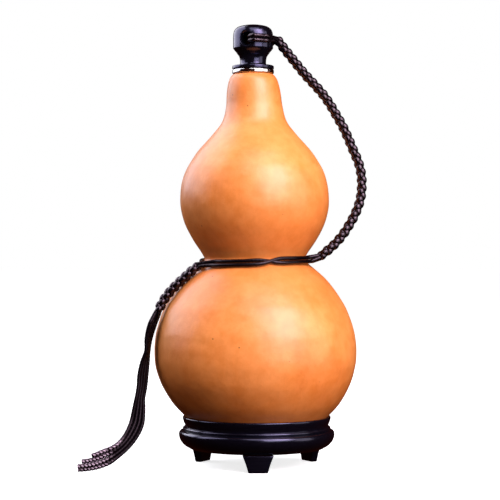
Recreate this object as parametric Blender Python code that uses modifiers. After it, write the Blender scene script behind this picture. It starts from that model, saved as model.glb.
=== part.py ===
# Dried bottle gourd with a metal mouth collar, a turned stopper, a plaited cord and a three-legged stand.
# Metres, +Z up. The stand's feet are on z = 0, under the middle of the belly. The camera side is -Y.

import math

import bmesh
import bpy
from mathutils import Vector

MM = 0.001
GAP = 0.3  # clearance between pieces that touch, mm

# Gourd: outer outline as (radius, height) in mm, from the cut lip down to the middle of the underside
GOURD_OUTLINE = [
    (10.2, 195.2), (12.1, 192.2), (13.4, 186.4), (14.2, 178.6), (16.2, 171.5), (20.7, 165.4),
    (27.7, 157.6), (34.3, 147.2), (37.2, 134.0), (36.7, 127.4), (35.0, 120.6), (29.5, 110.4),
    (26.2, 105.4), (25.1, 102.6), (27.2, 100.2), (29.8, 98.0), (34.3, 94.0), (38.5, 89.2),
    (42.7, 83.2), (46.0, 77.2), (49.0, 68.2), (50.4, 57.4), (50.0, 50.2), (47.5, 41.2),
    (42.5, 32.2), (37.3, 26.2), (32.0, 21.6), (24.0, 16.8), (14.0, 13.7), (5.0, 12.9), (0.0, 13.1),
]
GOURD_WALL = 4.0
GOURD_SIDES = 44
MOUTH_BORE = 7.6
MOUTH_HEIGHT = 195.2
# The fruit's axis is not straight: where it stands at the underside, to the right, and how far it shifts
# between two heights, as (from, to, shift)
AXIS_FOOT = 0.6
AXIS_SHIFTS = [(24.0, 50.0, -0.6), (50.0, 110.0, -0.45), (172.0, 197.0, -0.75)]
MOUTH_AXIS = AXIS_FOOT + sum(shift for start, end, shift in AXIS_SHIFTS)

# Mouth collar
COLLAR_RADIUS = 10.4
COLLAR_BOTTOM = MOUTH_HEIGHT + GAP
COLLAR_TOP = 197.4
COLLAR_EDGE = 0.5
SLEEVE_RADIUS = 7.1
SLEEVE_BORE = 6.35
SLEEVE_BOTTOM = 188.5

# Stopper
KNOB_RADIUS = 10.0
KNOB_DOME = [(0.0, 219.9), (3.6, 219.75), (6.9, 219.05), (8.7, 218.0), (9.5, 216.8), (9.9, 215.2)]
KNOB_SIDE = (213.9, 208.2)  # heights between which the knob is straight
KNOB_TAPER = [(9.6, 207.5), (8.6, 206.4), (7.9, 205.4), (7.1, 204.3), (6.7, 203.2), (6.5, 201.8), (6.5, 200.4)]
KNOB_MIDDLE = 212.2  # height of the cross hole
HOLE_RADIUS = 2.85
HOLE_MOUTH = 3.7
HOLE_LAND = 0.4  # depth at the knob's surface before the flare begins
HOLE_TURN = -111.0  # direction of the hole's front mouth, degrees from +X
FLANGE_RADIUS = 10.4
FLANGE_BOTTOM = COLLAR_TOP + GAP
FLANGE_HEIGHT = 1.8
FLANGE_EDGE = 0.7
FLANGE_CHAMFER = 0.4
SHANK_RADIUS = 6.0
SHANK_BOTTOM = 185.0
SHANK_CHAMFER = 0.8

# Stand
BASE_UNDERSIDE = 8.8
SEAT_OUTLINE = [(0.0, 12.2), (12.0, 12.5), (24.0, 15.9), (31.9, 20.9), (35.4, 23.8)]
RIM_RADIUS = 37.0
RIM_TOP = 24.6
RIM_EDGE = 0.6
GROOVE = [(36.7, 22.4), (35.9, 20.6), (35.7, 19.6)]
BEAD_RADIUS = 0.7
BEAD_MIDDLE = (36.2, 18.7)
BASE_SIDE = [(36.9, 17.9), (38.3, 17.3), (38.9, 16.0), (38.5, 13.6), (37.3, 11.6), (35.4, 9.9), (33.0, 8.8)]
LEG_REACH = 33.6  # outer face of a leg at its top, from the stand's middle
LEG_FOOT_REACH = 33.0
LEG_TOP_THICKNESS = 4.6
LEG_FOOT_THICKNESS = 3.4
LEG_TOP_WIDTH = 15.2
LEG_FOOT_WIDTH = 9.5
LEG_EDGE = 0.5
LEG_ANGLES = {"stand_leg_front": -89.0, "stand_leg_right": 31.0, "stand_leg_left": 151.0}

# Cords
CORD = 2.0
BRAID = 5.0
PAIR = 1.15  # half the distance between two cords that lie side by side
CORD_STEP = 2.4  # distance between a tube's points, in diameters
LOOP_STEP = 1.0  # the same for the tight turns round the knob

# Knob loops: the cord's line inside the hole and outside it, in mm
LOOP_RADIUS = KNOB_RADIUS + CORD / 2 + GAP
LOOP_OFFSET = 0.9
LOOP_BEND = 4.0
LOOP_HOLE_DEPTH = 3.0  # the line is straight between these depths in the hole
LOOP_WRAP = [(62.0, 11.3), (50.0, 11.35), (38.0, 11.7), (28.0, 12.1)]  # degrees from the hole's mouth, radius
LOOP_FRONT_SIDE = (8.5, -5.9)  # where the loops pass the knob's right side, in front and behind
LOOP_BACK_SIDE = (8.4, 6.9)
LOOP_END = (10.8, 1.5, 212.9)  # where the loops' ends go into the braid
LOOP_END_LEAN = 0.4  # the upper loop ends further out than the lower one, for each mm of height

# Route of the long braid, from the knob to the right side of the waist
LONG_BRAID_ROUTE = [
    (12.5, -0.8, 210.4), (14.3, -0.9, 208.0), (16.4, -1.0, 205.3), (19.7, -1.0, 201.2), (24.4, -1.0, 195.4),
    (29.0, -1.0, 190.4), (33.3, -1.0, 185.6), (37.0, -1.0, 180.4), (40.2, -1.0, 175.0), (43.4, -1.0, 169.4),
    (46.2, -1.0, 163.4), (48.9, -1.0, 157.0), (51.4, -1.2, 151.0), (52.8, -1.4, 144.8), (53.0, -1.6, 138.4),
    (52.2, -2.0, 132.4), (50.2, -2.6, 126.6), (47.2, -3.4, 120.8), (43.4, -4.4, 115.0), (38.6, -5.4, 109.6),
    (33.4, -6.0, 105.2), (31.9, -6.2, 104.0),
]

# Turns round the waist: degrees from +X, radius of the upper and of the lower cord, and height of their middle.
# The right end comes first. The belly is wider than the upper lobe, so the lower cord runs further out.
WAIST_FRONT_ROUTE = [
    (-13.8, 29.0, 30.4, 103.2), (-18.5, 27.7, 29.2, 102.9), (-27.0, 27.1, 28.5, 102.6),
    (-45.0, 26.9, 28.3, 102.5), (-65.0, 26.9, 28.5, 102.2), (-85.0, 26.9, 28.9, 101.6),
    (-105.0, 27.1, 29.7, 101.1), (-125.0, 27.3, 30.1, 100.9), (-137.0, 28.0, 30.5, 100.9),
    (-144.0, 29.2, 31.0, 100.9),
]
WAIST_BACK_ROUTE = [
    (-8.4, 29.0, 30.4, 103.2), (-3.4, 27.7, 29.2, 102.9), (7.0, 27.1, 28.5, 102.7),
    (30.0, 26.9, 28.4, 102.5), (60.0, 26.9, 28.5, 102.3), (90.0, 26.9, 28.6, 102.1),
    (120.0, 26.9, 28.7, 102.0), (150.0, 26.9, 28.9, 101.8), (175.0, 27.0, 29.1, 101.6),
    (192.0, 27.3, 29.6, 101.3), (202.0, 28.0, 30.2, 101.1), (207.0, 29.2, 31.0, 101.1),
]

# Route of the short braid, over the left shoulder of the belly
SHORT_BRAID_ROUTE = [
    (-28.6, -17.0, 99.4), (-31.4, -16.4, 97.2), (-34.6, -15.4, 94.4), (-38.8, -14.1, 90.6), (-42.8, -12.8, 86.2),
    (-45.9, -12.2, 81.8), (-48.0, -12.4, 77.2),
]

# Route of the middle of the four loose ends, down to the surface
TAIL_ROUTE = [
    (-48.9, -12.6, 75.4), (-51.0, -12.2, 69.6), (-52.6, -11.9, 63.6), (-53.3, -11.8, 57.6), (-54.5, -12.2, 51.6),
    (-55.4, -13.0, 45.6), (-56.0, -13.9, 39.4), (-56.9, -15.2, 33.2), (-57.5, -17.0, 27.2), (-59.0, -19.6, 21.2),
    (-62.2, -22.6, 15.6), (-66.8, -25.2, 10.6), (-72.4, -27.0, 7.0), (-78.8, -28.2, 5.0), (-85.0, -29.2, 4.5),
]
# Places of the four ends across the tail, as (to the right, to the back), at its top and at its end
TAIL_TOP_PLACES = [(-PAIR, PAIR), (-PAIR, -PAIR), (PAIR, PAIR), (PAIR, -PAIR)]
TAIL_END_PLACES = [(-3.45, 1.5), (-1.15, 0.5), (1.15, -0.5), (3.45, -1.5)]
TAIL_FAN_START = 0.35  # share of the tail's length where the ends begin to spread
TAIL_FAN_END = 0.8


def smooth_curve(points, spans):
    """Points on a curve that passes through every given point, with a number of steps between two of them."""
    route = [Vector(point) for point in points]
    first = route[0] * 2 - route[1]
    last = route[-1] * 2 - route[-2]
    padded = [first] + route + [last]
    result = []
    for index in range(1, len(padded) - 2):
        before, start, end, after = padded[index - 1:index + 3]
        for step in range(spans):
            t = step / spans
            result.append(
                0.5 * (2 * start + (end - before) * t
                       + (2 * before - 5 * start + 4 * end - after) * t * t
                       + (3 * start - before - 3 * end + after) * t ** 3)
            )
    result.append(route[-1])
    return result


def even_steps(points, spacing):
    """Points along a line, as near to the given spacing as a whole number of steps allows."""
    lengths = [0.0]
    for start, end in zip(points, points[1:]):
        lengths.append(lengths[-1] + (end - start).length)
    count = max(2, round(lengths[-1] / spacing))
    result = []
    index = 0
    for step in range(count + 1):
        target = lengths[-1] * step / count
        while index < len(points) - 2 and lengths[index + 1] < target:
            index += 1
        share = (target - lengths[index]) / (lengths[index + 1] - lengths[index])
        result.append(points[index].lerp(points[index + 1], share))
    return result


def arc(middle, radius, start, end, steps):
    """Points on an arc in an outline, with its angles in degrees."""
    angles = [math.radians(start + (end - start) * step / steps) for step in range(steps + 1)]
    return [(middle[0] + radius * math.cos(a), middle[1] + radius * math.sin(a)) for a in angles]


def material(name, colour, roughness, metallic=0.0):
    made = bpy.data.materials.new(name)
    made.use_nodes = True
    shader = made.node_tree.nodes["Principled BSDF"]
    shader.inputs["Base Color"].default_value = (*colour, 1.0)
    shader.inputs["Roughness"].default_value = roughness
    shader.inputs["Metallic"].default_value = metallic
    made.diffuse_color = (*colour, 1.0)
    return made


def add_object(name, data, collection, finish=None):
    made = bpy.data.objects.new(name, data)
    collection.objects.link(made)
    if finish:
        made.data.materials.append(finish)
    return made


def turned(name, outline, sides, collection, finish=None):
    """A turned piece: its outline in mm, which runs up the inside and down the outside, is spun about Z."""
    mesh = bpy.data.meshes.new(name)
    corners = [(radius * MM, 0.0, height * MM) for radius, height in outline]
    edges = [(index, index + 1) for index in range(len(corners) - 1)]
    mesh.from_pydata(corners, edges, [])
    made = add_object(name, mesh, collection, finish)
    screw = made.modifiers.new("Spin", "SCREW")
    screw.steps = sides
    screw.render_steps = sides
    screw.use_merge_vertices = True
    screw.merge_threshold = 0.00005
    screw.use_smooth_shade = True
    return made


def applied(made):
    """The same object with its modifiers applied."""
    bpy.context.view_layer.update()
    evaluated = made.evaluated_get(bpy.context.evaluated_depsgraph_get())
    mesh = bpy.data.meshes.new_from_object(evaluated)
    made.modifiers.clear()
    made.data = mesh
    return made


def smooth_share(value, low, high):
    """A share from 0 to 1 that eases in at low and out at high."""
    share = min(max((value - low) / (high - low), 0.0), 1.0)
    return share * share * (3.0 - 2.0 * share)


def axis_at(height):
    """Where the gourd's axis stands to the right at a height, in mm."""
    return AXIS_FOOT + sum(shift * smooth_share(height, start, end) for start, end, shift in AXIS_SHIFTS)


def gourd_outlines():
    """The outer outline from lip to underside, and the inner one a wall's thickness inside it."""
    outer = [(point[0], point[1]) for point in smooth_curve([(r, z, 0.0) for r, z in GOURD_OUTLINE], 2)]
    inner = []
    for index in range(0, len(outer), 3):
        before = outer[max(index - 1, 0)]
        after = outer[min(index + 1, len(outer) - 1)]
        along = Vector((after[0] - before[0], after[1] - before[1])).normalized()
        radius = outer[index][0] + along.y * GOURD_WALL
        height = outer[index][1] - along.x * GOURD_WALL
        if radius > MOUTH_BORE or height < MOUTH_HEIGHT / 2:
            inner.append((max(radius, 0.0), height))
    inner[-1] = (0.0, outer[-1][1] + GOURD_WALL)
    inner = [(MOUTH_BORE, MOUTH_HEIGHT), (MOUTH_BORE, inner[0][1] + 1.0)] + inner
    return outer, inner


def make_gourd(collection, finish):
    outer, inner = gourd_outlines()
    gourd = applied(turned("gourd", inner[::-1] + outer, GOURD_SIDES, collection, finish))
    for vertex in gourd.data.vertices:
        vertex.co.x += axis_at(vertex.co.z / MM) * MM
    return gourd


def make_collar(collection, finish):
    outline = [
        (SLEEVE_BORE, SLEEVE_BOTTOM),
        (SLEEVE_BORE, COLLAR_TOP - COLLAR_EDGE),
        (SLEEVE_BORE + COLLAR_EDGE, COLLAR_TOP),
    ]
    outline += arc((COLLAR_RADIUS - COLLAR_EDGE, COLLAR_TOP - COLLAR_EDGE), COLLAR_EDGE, 90.0, 0.0, 3)
    outline += arc((COLLAR_RADIUS - COLLAR_EDGE, COLLAR_BOTTOM + COLLAR_EDGE), COLLAR_EDGE, 0.0, -90.0, 3)
    outline += [
        (SLEEVE_RADIUS, COLLAR_BOTTOM),
        (SLEEVE_RADIUS, SLEEVE_BOTTOM),
        (SLEEVE_BORE, SLEEVE_BOTTOM),
    ]
    collar = turned("mouth_collar", outline, 36, collection, finish)
    collar.location.x = MOUTH_AXIS * MM
    return collar


def stopper_outline():
    dome = smooth_curve([(r, z, 0.0) for r, z in KNOB_DOME], 2)
    outline = [(point[0], point[1]) for point in dome]
    outline += [(KNOB_RADIUS, height) for height in KNOB_SIDE]
    outline += KNOB_TAPER
    flange_top = FLANGE_BOTTOM + FLANGE_HEIGHT
    outline += [(KNOB_TAPER[-1][0] + FLANGE_EDGE, flange_top + FLANGE_EDGE / 2)]
    outline += arc((FLANGE_RADIUS - FLANGE_EDGE, flange_top - FLANGE_EDGE), FLANGE_EDGE, 75.0, 0.0, 3)
    outline += [(FLANGE_RADIUS, FLANGE_BOTTOM + FLANGE_CHAMFER), (FLANGE_RADIUS - FLANGE_CHAMFER, FLANGE_BOTTOM)]
    outline += [(SHANK_RADIUS, FLANGE_BOTTOM), (SHANK_RADIUS, SHANK_BOTTOM + SHANK_CHAMFER)]
    outline += [(SHANK_RADIUS - SHANK_CHAMFER, SHANK_BOTTOM), (0.0, SHANK_BOTTOM)]
    return outline


def make_stopper(collection, cutters, finish):
    stopper = turned("stopper", stopper_outline(), 36, collection, finish)
    stopper.location.x = MOUTH_AXIS * MM
    stopper = applied(stopper)
    beyond = KNOB_RADIUS + 2.0
    land = KNOB_RADIUS - HOLE_LAND
    flare = HOLE_MOUTH - HOLE_RADIUS
    bore = [
        (0.0, beyond), (HOLE_MOUTH, beyond), (HOLE_MOUTH, land), (HOLE_RADIUS, land - flare),
        (HOLE_RADIUS, flare - land), (HOLE_MOUTH, -land), (HOLE_MOUTH, -beyond), (0.0, -beyond),
    ]
    cutter = turned("knob_hole_cutter", bore, 24, cutters)
    cutter.location = (MOUTH_AXIS * MM, 0.0, KNOB_MIDDLE * MM)
    cutter.rotation_euler = (0.0, math.radians(90.0), math.radians(HOLE_TURN))
    cutter.hide_render = True
    cutter.display_type = "WIRE"
    cut = stopper.modifiers.new("Cord hole", "BOOLEAN")
    cut.operation = "DIFFERENCE"
    cut.object = cutter
    return stopper


def make_base(collection, finish):
    outline = [(point[0], point[1]) for point in smooth_curve([(r, z, 0.0) for r, z in SEAT_OUTLINE], 2)]
    outline += arc((RIM_RADIUS - RIM_EDGE, RIM_TOP - RIM_EDGE), RIM_EDGE, 135.0, 0.0, 3)
    outline += GROOVE
    outline += arc(BEAD_MIDDLE, BEAD_RADIUS, 75.0, -45.0, 4)
    outline += [(point[0], point[1]) for point in smooth_curve([(r, z, 0.0) for r, z in BASE_SIDE], 2)]
    outline += [(0.0, BASE_UNDERSIDE)]
    base = turned("stand_base", outline, 48, collection, finish)
    base.location.x = AXIS_FOOT * MM
    return base


def make_leg(name, angle, collection, finish):
    """A flat leg that tapers to its foot, with its wide face outwards."""
    mesh = bpy.data.meshes.new(name)
    shape = bmesh.new()
    bmesh.ops.create_cube(shape, size=1.0)
    height = BASE_UNDERSIDE - GAP
    for vertex in shape.verts:
        top = vertex.co.z > 0
        width = LEG_TOP_WIDTH if top else LEG_FOOT_WIDTH
        outer = LEG_REACH if top else LEG_FOOT_REACH
        inner = outer - (LEG_TOP_THICKNESS if top else LEG_FOOT_THICKNESS)
        vertex.co.x = (outer if vertex.co.x > 0 else inner) * MM
        vertex.co.y = math.copysign(width / 2, vertex.co.y) * MM
        vertex.co.z = (height if top else 0.0) * MM
    shape.to_mesh(mesh)
    shape.free()
    leg = add_object(name, mesh, collection, finish)
    leg.location.x = AXIS_FOOT * MM
    leg.rotation_euler.z = math.radians(angle)
    bevel = leg.modifiers.new("Eased edges", "BEVEL")
    bevel.width = LEG_EDGE * MM
    bevel.segments = 2
    bevel.limit_method = "ANGLE"
    return leg


def tube(name, points, diameter, collection, finish, step=CORD_STEP):
    """A plain round cord along points in mm."""
    spots = even_steps([Vector(point) for point in points], diameter * step)
    curve = bpy.data.curves.new(name, "CURVE")
    curve.dimensions = "3D"
    curve.bevel_depth = diameter / 2 * MM
    curve.bevel_resolution = 2
    curve.use_fill_caps = True
    spline = curve.splines.new("POLY")
    spline.points.add(len(spots) - 1)
    for point, spot in zip(spline.points, spots):
        point.co = (spot.x * MM, spot.y * MM, spot.z * MM, 1.0)
    return add_object(name, curve, collection, finish)


def knob_loop(lift):
    """One cord round the knob: from the braid, round the front, through the hole and back along the rear."""
    height = KNOB_MIDDLE + lift
    end_height = LOOP_END[2] + lift
    end_x = LOOP_END[0] + lift * LOOP_END_LEAN
    side_height = (height + end_height) / 2
    across = math.radians(HOLE_TURN)
    out = Vector((math.cos(across), math.sin(across), 0.0))
    side = Vector((-math.sin(across), math.cos(across), 0.0))
    middle = Vector((MOUTH_AXIS, 0.0, height))
    bend = LOOP_OFFSET + LOOP_BEND
    front = []
    for degrees in (30.0, 60.0, 90.0):
        turn = math.radians(degrees)
        front.append((bend - LOOP_BEND * math.sin(turn), LOOP_RADIUS - LOOP_BEND * (1 - math.cos(turn))))
    path = [(radius * math.sin(math.radians(a)), radius * math.cos(math.radians(a))) for a, radius in LOOP_WRAP]
    path += [(bend, LOOP_RADIUS)] + front + [(LOOP_OFFSET, LOOP_HOLE_DEPTH), (LOOP_OFFSET, -LOOP_HOLE_DEPTH)]
    path += [(offset, -depth) for offset, depth in reversed(front)]
    path += [(bend, -LOOP_RADIUS)]
    points = [middle + side * offset + out * depth for offset, depth in path]
    start = [Vector((end_x, -LOOP_END[1], end_height)), Vector((*LOOP_FRONT_SIDE, side_height))]
    finish = [Vector((*LOOP_BACK_SIDE, side_height)), Vector((end_x, LOOP_END[1], end_height))]
    return smooth_curve(start + points + finish, 4)


def round_waist(route, upper):
    """One cord of the pair that follows a route round the waist, in mm."""
    points = []
    for degrees, upper_radius, lower_radius, height in route:
        turn = math.radians(degrees)
        reach = upper_radius if upper else lower_radius
        lift = PAIR if upper else -PAIR
        points.append((reach * math.cos(turn), reach * math.sin(turn), height + lift))
    return smooth_curve(points, 6)


def tail_paths():
    """The four loose ends: side by side in a bundle at the top, spread as a fan at the end."""
    middle = smooth_curve(TAIL_ROUTE, 6)
    last = len(middle) - 1
    paths = [[], [], [], []]
    for index, spot in enumerate(middle):
        along = (middle[min(index + 1, last)] - middle[max(index - 1, 0)]).normalized()
        right = along.cross(Vector((0.0, 1.0, 0.0))).normalized()
        back = right.cross(along)
        share = smooth_share(index / last, TAIL_FAN_START, TAIL_FAN_END)
        for path, top, end in zip(paths, TAIL_TOP_PLACES, TAIL_END_PLACES):
            place = Vector(top).lerp(Vector(end), share)
            path.append(spot + right * place.x + back * place.y)
    return paths


def make_cords(collection, finish):
    tube("knob_loop_upper", knob_loop(PAIR), CORD, collection, finish, LOOP_STEP)
    tube("knob_loop_lower", knob_loop(-PAIR), CORD, collection, finish, LOOP_STEP)
    tube("long_braid", smooth_curve(LONG_BRAID_ROUTE, 6), BRAID, collection, finish)
    for place, route in (("front", WAIST_FRONT_ROUTE), ("back", WAIST_BACK_ROUTE)):
        tube(f"waist_cord_{place}_upper", round_waist(route, True), CORD, collection, finish)
        tube(f"waist_cord_{place}_lower", round_waist(route, False), CORD, collection, finish)
    tube("short_braid", smooth_curve(SHORT_BRAID_ROUTE, 6), BRAID, collection, finish)
    for number, path in enumerate(tail_paths(), start=1):
        tube(f"tail_cord_{number}", path, CORD, collection, finish)


def main():
    for old in list(bpy.data.objects):
        bpy.data.objects.remove(old)
    parts = bpy.data.collections.new("dried_bottle_gourd")
    cutters = bpy.data.collections.new("cutters")
    bpy.context.scene.collection.children.link(parts)
    bpy.context.scene.collection.children.link(cutters)
    rind = material("gourd rind", (0.80, 0.36, 0.10), 0.38)
    steel = material("polished steel", (0.80, 0.80, 0.82), 0.12, 1.0)
    black_wood = material("black lacquered wood", (0.012, 0.011, 0.018), 0.22)
    nylon = material("dark nylon cord", (0.030, 0.016, 0.026), 0.45)
    make_gourd(parts, rind)
    make_collar(parts, steel)
    make_stopper(parts, cutters, black_wood)
    make_base(parts, black_wood)
    for name, angle in LEG_ANGLES.items():
        make_leg(name, angle, parts, black_wood)
    make_cords(parts, nylon)


main()
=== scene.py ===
# Dried bottle gourd flask: steel mouth collar, turned stopper, plaited nylon cord and turned stand.
# Metres, +Z up, the camera looks along +Y. Outlines and routes below are in millimetres.

import math

import bpy
import numpy
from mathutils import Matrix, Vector, noise


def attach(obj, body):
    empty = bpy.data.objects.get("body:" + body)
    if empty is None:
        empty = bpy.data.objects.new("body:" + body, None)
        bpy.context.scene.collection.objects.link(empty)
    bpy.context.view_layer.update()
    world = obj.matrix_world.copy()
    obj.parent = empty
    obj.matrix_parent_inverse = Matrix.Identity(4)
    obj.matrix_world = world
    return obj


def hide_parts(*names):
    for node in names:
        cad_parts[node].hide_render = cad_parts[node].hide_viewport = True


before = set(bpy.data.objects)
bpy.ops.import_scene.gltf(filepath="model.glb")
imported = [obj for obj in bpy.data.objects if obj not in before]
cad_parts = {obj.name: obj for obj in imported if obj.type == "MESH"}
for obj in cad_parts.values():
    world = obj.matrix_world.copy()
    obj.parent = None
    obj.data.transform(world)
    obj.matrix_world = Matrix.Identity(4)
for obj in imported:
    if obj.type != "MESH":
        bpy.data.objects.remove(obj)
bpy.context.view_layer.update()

mm = 0.001


# Small helpers

def linearColour(hexCode):
    parts = [int(hexCode[i:i + 2], 16) / 255 for i in (1, 3, 5)]
    return tuple(p / 12.92 if p <= 0.04045 else ((p + 0.055) / 1.055) ** 2.4 for p in parts) + (1.0,)


def addNode(tree, kind, values=None, links=None, stops=None, **settings):
    made = tree.nodes.new(kind)
    for name, value in settings.items():
        setattr(made, name, value)
    for socket, value in (values or {}).items():
        made.inputs[socket].default_value = value
    for socket, source in (links or {}).items():
        tree.links.new(source, made.inputs[socket])
    if stops:
        ramp = made.color_ramp
        while len(ramp.elements) < len(stops):
            ramp.elements.new(1.0)
        for element, (place, hexCode) in zip(ramp.elements, stops):
            element.position = place
            element.color = linearColour(hexCode)
    return made


def newMaterial(name):
    made = bpy.data.materials.new(name)
    made.use_nodes = True
    made.node_tree.nodes.clear()
    return made, made.node_tree


def smoothCurve(points, spans, lead=None, trail=None):
    # passes through every point; lead and trail steer the two ends
    route = [Vector(p) for p in points]
    first = Vector(lead) if lead is not None else route[0] * 2 - route[1]
    last = Vector(trail) if trail is not None else route[-1] * 2 - route[-2]
    padded = [first] + route + [last]
    result = []
    for i in range(1, len(padded) - 2):
        before, start, end, after = padded[i - 1:i + 3]
        for step in range(spans):
            t = step / spans
            result.append(0.5 * (2 * start + (end - before) * t
                                 + (2 * before - 5 * start + 4 * end - after) * t * t
                                 + (3 * start - before - 3 * end + after) * t ** 3))
    result.append(route[-1])
    return result


def lineLength(points):
    return sum((b - a).length for a, b in zip(points, points[1:]))


def evenSteps(points, spacing):
    lengths = [0.0]
    for start, end in zip(points, points[1:]):
        lengths.append(lengths[-1] + (end - start).length)
    count = max(2, round(lengths[-1] / spacing))
    result = []
    index = 0
    for step in range(count + 1):
        target = lengths[-1] * step / count
        while index < len(points) - 2 and lengths[index + 1] < target:
            index += 1
        share = (target - lengths[index]) / (lengths[index + 1] - lengths[index])
        result.append(points[index].lerp(points[index + 1], share))
    return result


def smoothShare(value, low, high):
    share = min(max((value - low) / (high - low), 0.0), 1.0)
    return share * share * (3.0 - 2.0 * share)


def arc(middle, radius, start, end, steps):
    angles = [math.radians(start + (end - start) * i / steps) for i in range(steps + 1)]
    return [(middle[0] + radius * math.cos(a), middle[1] + radius * math.sin(a)) for a in angles]


def outlineThrough(points, spans):
    return [(p.x, p.y) for p in smoothCurve([(r, z, 0.0) for r, z in points], spans)]


# Camera, lights and floor

cameraLook = {
    "place": (-2.75, -832.0, 107.4),  # mm: level with the gourd's waist
    "focal": 119.8,  # mm
    "sensor": 36.0,
    "nearClip": 0.01,
}

lightLook = {
    # name: (place in mm, aimed at, width, height, watts, colour)
    "keySoftbox": ((424.0, -705.0, 585.0), (0.0, 0.0, 110.0), 640.0, 600.0, 9.3, "#FFF0FA"),
    "keyReflector": ((579.0, -579.0, 684.0), (0.0, 0.0, 110.0), 520.0, 600.0, 5.3, "#FFF0FA"),
    "frontFill": ((500.0, -800.0, 150.0), (0.0, 0.0, 110.0), 700.0, 250.0, 2.5, "#FFFFFF"),
    "topFill": ((100.0, -565.0, 929.0), (0.0, 0.0, 110.0), 700.0, 600.0, 4.2, "#FFFFFF"),
    "rightFill": ((900.0, -300.0, 250.0), (0.0, 0.0, 110.0), 500.0, 800.0, 2.5, "#FFFAF4"),
    "leftBackWindow": ((-607.0, 283.0, 600.0), (0.0, 0.0, 110.0), 1100.0, 900.0, 10.6, "#F4F4FF"),
}

stageLook = {
    "floorSize": 16.0,
    "floorWhite": "#EDEDEC",
    "nearGlow": 0.78,  # the floor takes a soft shadow near the object
    "farGlow": 1.0,  # and melts into the white sweep further out
    "glowReach": (0.2, 0.9),  # metres from the middle between which it does so
    "roomGlow": "#FF6430",  # the light that the gourd's own colour sends round the tent
    "roomStrength": 0.02,
    "sweepWhite": 1.0,
}


def addCamera(look):
    bpy.ops.object.camera_add(location=[v * mm for v in look["place"]], rotation=(math.radians(90), 0, 0))
    camera = bpy.context.object
    camera.name = "photoCamera"
    camera.data.lens = look["focal"]
    camera.data.sensor_width = look["sensor"]
    camera.data.clip_start = look["nearClip"]
    bpy.context.scene.camera = camera


def addLights(look):
    for name, (place, target, width, height, watts, tint) in look.items():
        start = Vector(place) * mm
        aim = Vector(target) * mm - start
        turn = aim.to_track_quat("-Z", "Y").to_euler()
        bpy.ops.object.light_add(type="AREA", location=start, rotation=turn)
        lamp = bpy.context.object
        lamp.name = name
        lamp.data.shape = "RECTANGLE"
        lamp.data.size = width * mm
        lamp.data.size_y = height * mm
        lamp.data.energy = watts
        lamp.data.color = linearColour(tint)[:3]
        lamp.visible_camera = False


def addStage(look):
    bpy.ops.mesh.primitive_plane_add(size=look["floorSize"], location=(0, 0, 0))
    floor = bpy.context.object
    floor.name = "studioFloor"
    # the floor casts no light back up, as black card under the set does
    floor.visible_diffuse = False
    floor.visible_glossy = False
    # matt white painted board: pale, with only soft shadows
    paint, tree = newMaterial("mattWhiteBoard")
    coords = addNode(tree, "ShaderNodeTexCoord")
    grain = addNode(tree, "ShaderNodeTexNoise", {"Scale": 400.0, "Detail": 3.0},
                    {"Vector": coords.outputs["Object"]})
    bump = addNode(tree, "ShaderNodeBump", {"Strength": 0.02, "Distance": 0.0002},
                   {"Height": grain.outputs["Fac"]})
    reach = addNode(tree, "ShaderNodeVectorMath", links={0: coords.outputs["Object"]}, operation="LENGTH")
    glow = addNode(tree, "ShaderNodeMapRange",
                   {"From Min": look["glowReach"][0], "From Max": look["glowReach"][1],
                    "To Min": look["nearGlow"], "To Max": look["farGlow"]},
                   {"Value": reach.outputs["Value"]})
    shader = addNode(tree, "ShaderNodeBsdfPrincipled",
                     {"Base Color": linearColour(look["floorWhite"]), "Roughness": 0.9,
                      "Emission Color": (1, 1, 1, 1)},
                     {"Normal": bump.outputs["Normal"], "Emission Strength": glow.outputs["Result"]})
    addNode(tree, "ShaderNodeOutputMaterial", links={"Surface": shader.outputs["BSDF"]})
    floor.data.materials.append(paint)
    world = bpy.data.worlds.new("paleStudio")
    bpy.context.scene.world = world
    world.use_nodes = True
    tree = world.node_tree
    tree.nodes.clear()
    soft = addNode(tree, "ShaderNodeBackground",
                   {"Color": linearColour(look["roomGlow"]), "Strength": look["roomStrength"]})
    white = addNode(tree, "ShaderNodeBackground", {"Color": (1, 1, 1, 1), "Strength": look["sweepWhite"]})
    path = addNode(tree, "ShaderNodeLightPath")
    both = addNode(tree, "ShaderNodeMixShader",
                   links={0: path.outputs["Is Camera Ray"], 1: soft.outputs[0], 2: white.outputs[0]})
    addNode(tree, "ShaderNodeOutputWorld", links={"Surface": both.outputs[0]})
    bpy.context.scene.view_settings.view_transform = "Standard"


addCamera(cameraLook)
addLights(lightLook)
addStage(stageLook)
print("stage: camera, lights and floor are set")


# Materials

rindLook = {
    "tones": [(0.30, "#DC7A2F"), (0.50, "#EB8F43"), (0.72, "#F39C54")],
    "blotches": [(0.35, "#CC7235"), (0.62, "#F5A76A")],
    "blotchShare": 0.22,
    "fibres": [(0.30, "#D9D9D9"), (0.70, "#FFFFFF")],
    "fibreShare": 0.12,
    "paintedLobeShade": [  # painted shade up the fruit: darker at the bottom, under each lobe, at the waist and a little at the neck; as shares of 200 mm
        (0.08, "#C98A52"), (0.22, "#F2D2B0"), (0.36, "#FFFFFF"), (0.50, "#E6BE94"), (0.60, "#EFD0AC"),
        (0.74, "#FFFFFF"), (0.96, "#F6E0C8"),
    ],
    "paintedLobeShadeShare": 0.55,
    "specks": "#8A4A1C",
    "roughness": (0.34, 0.48),  # of the shiniest and of the dullest places
}


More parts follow.
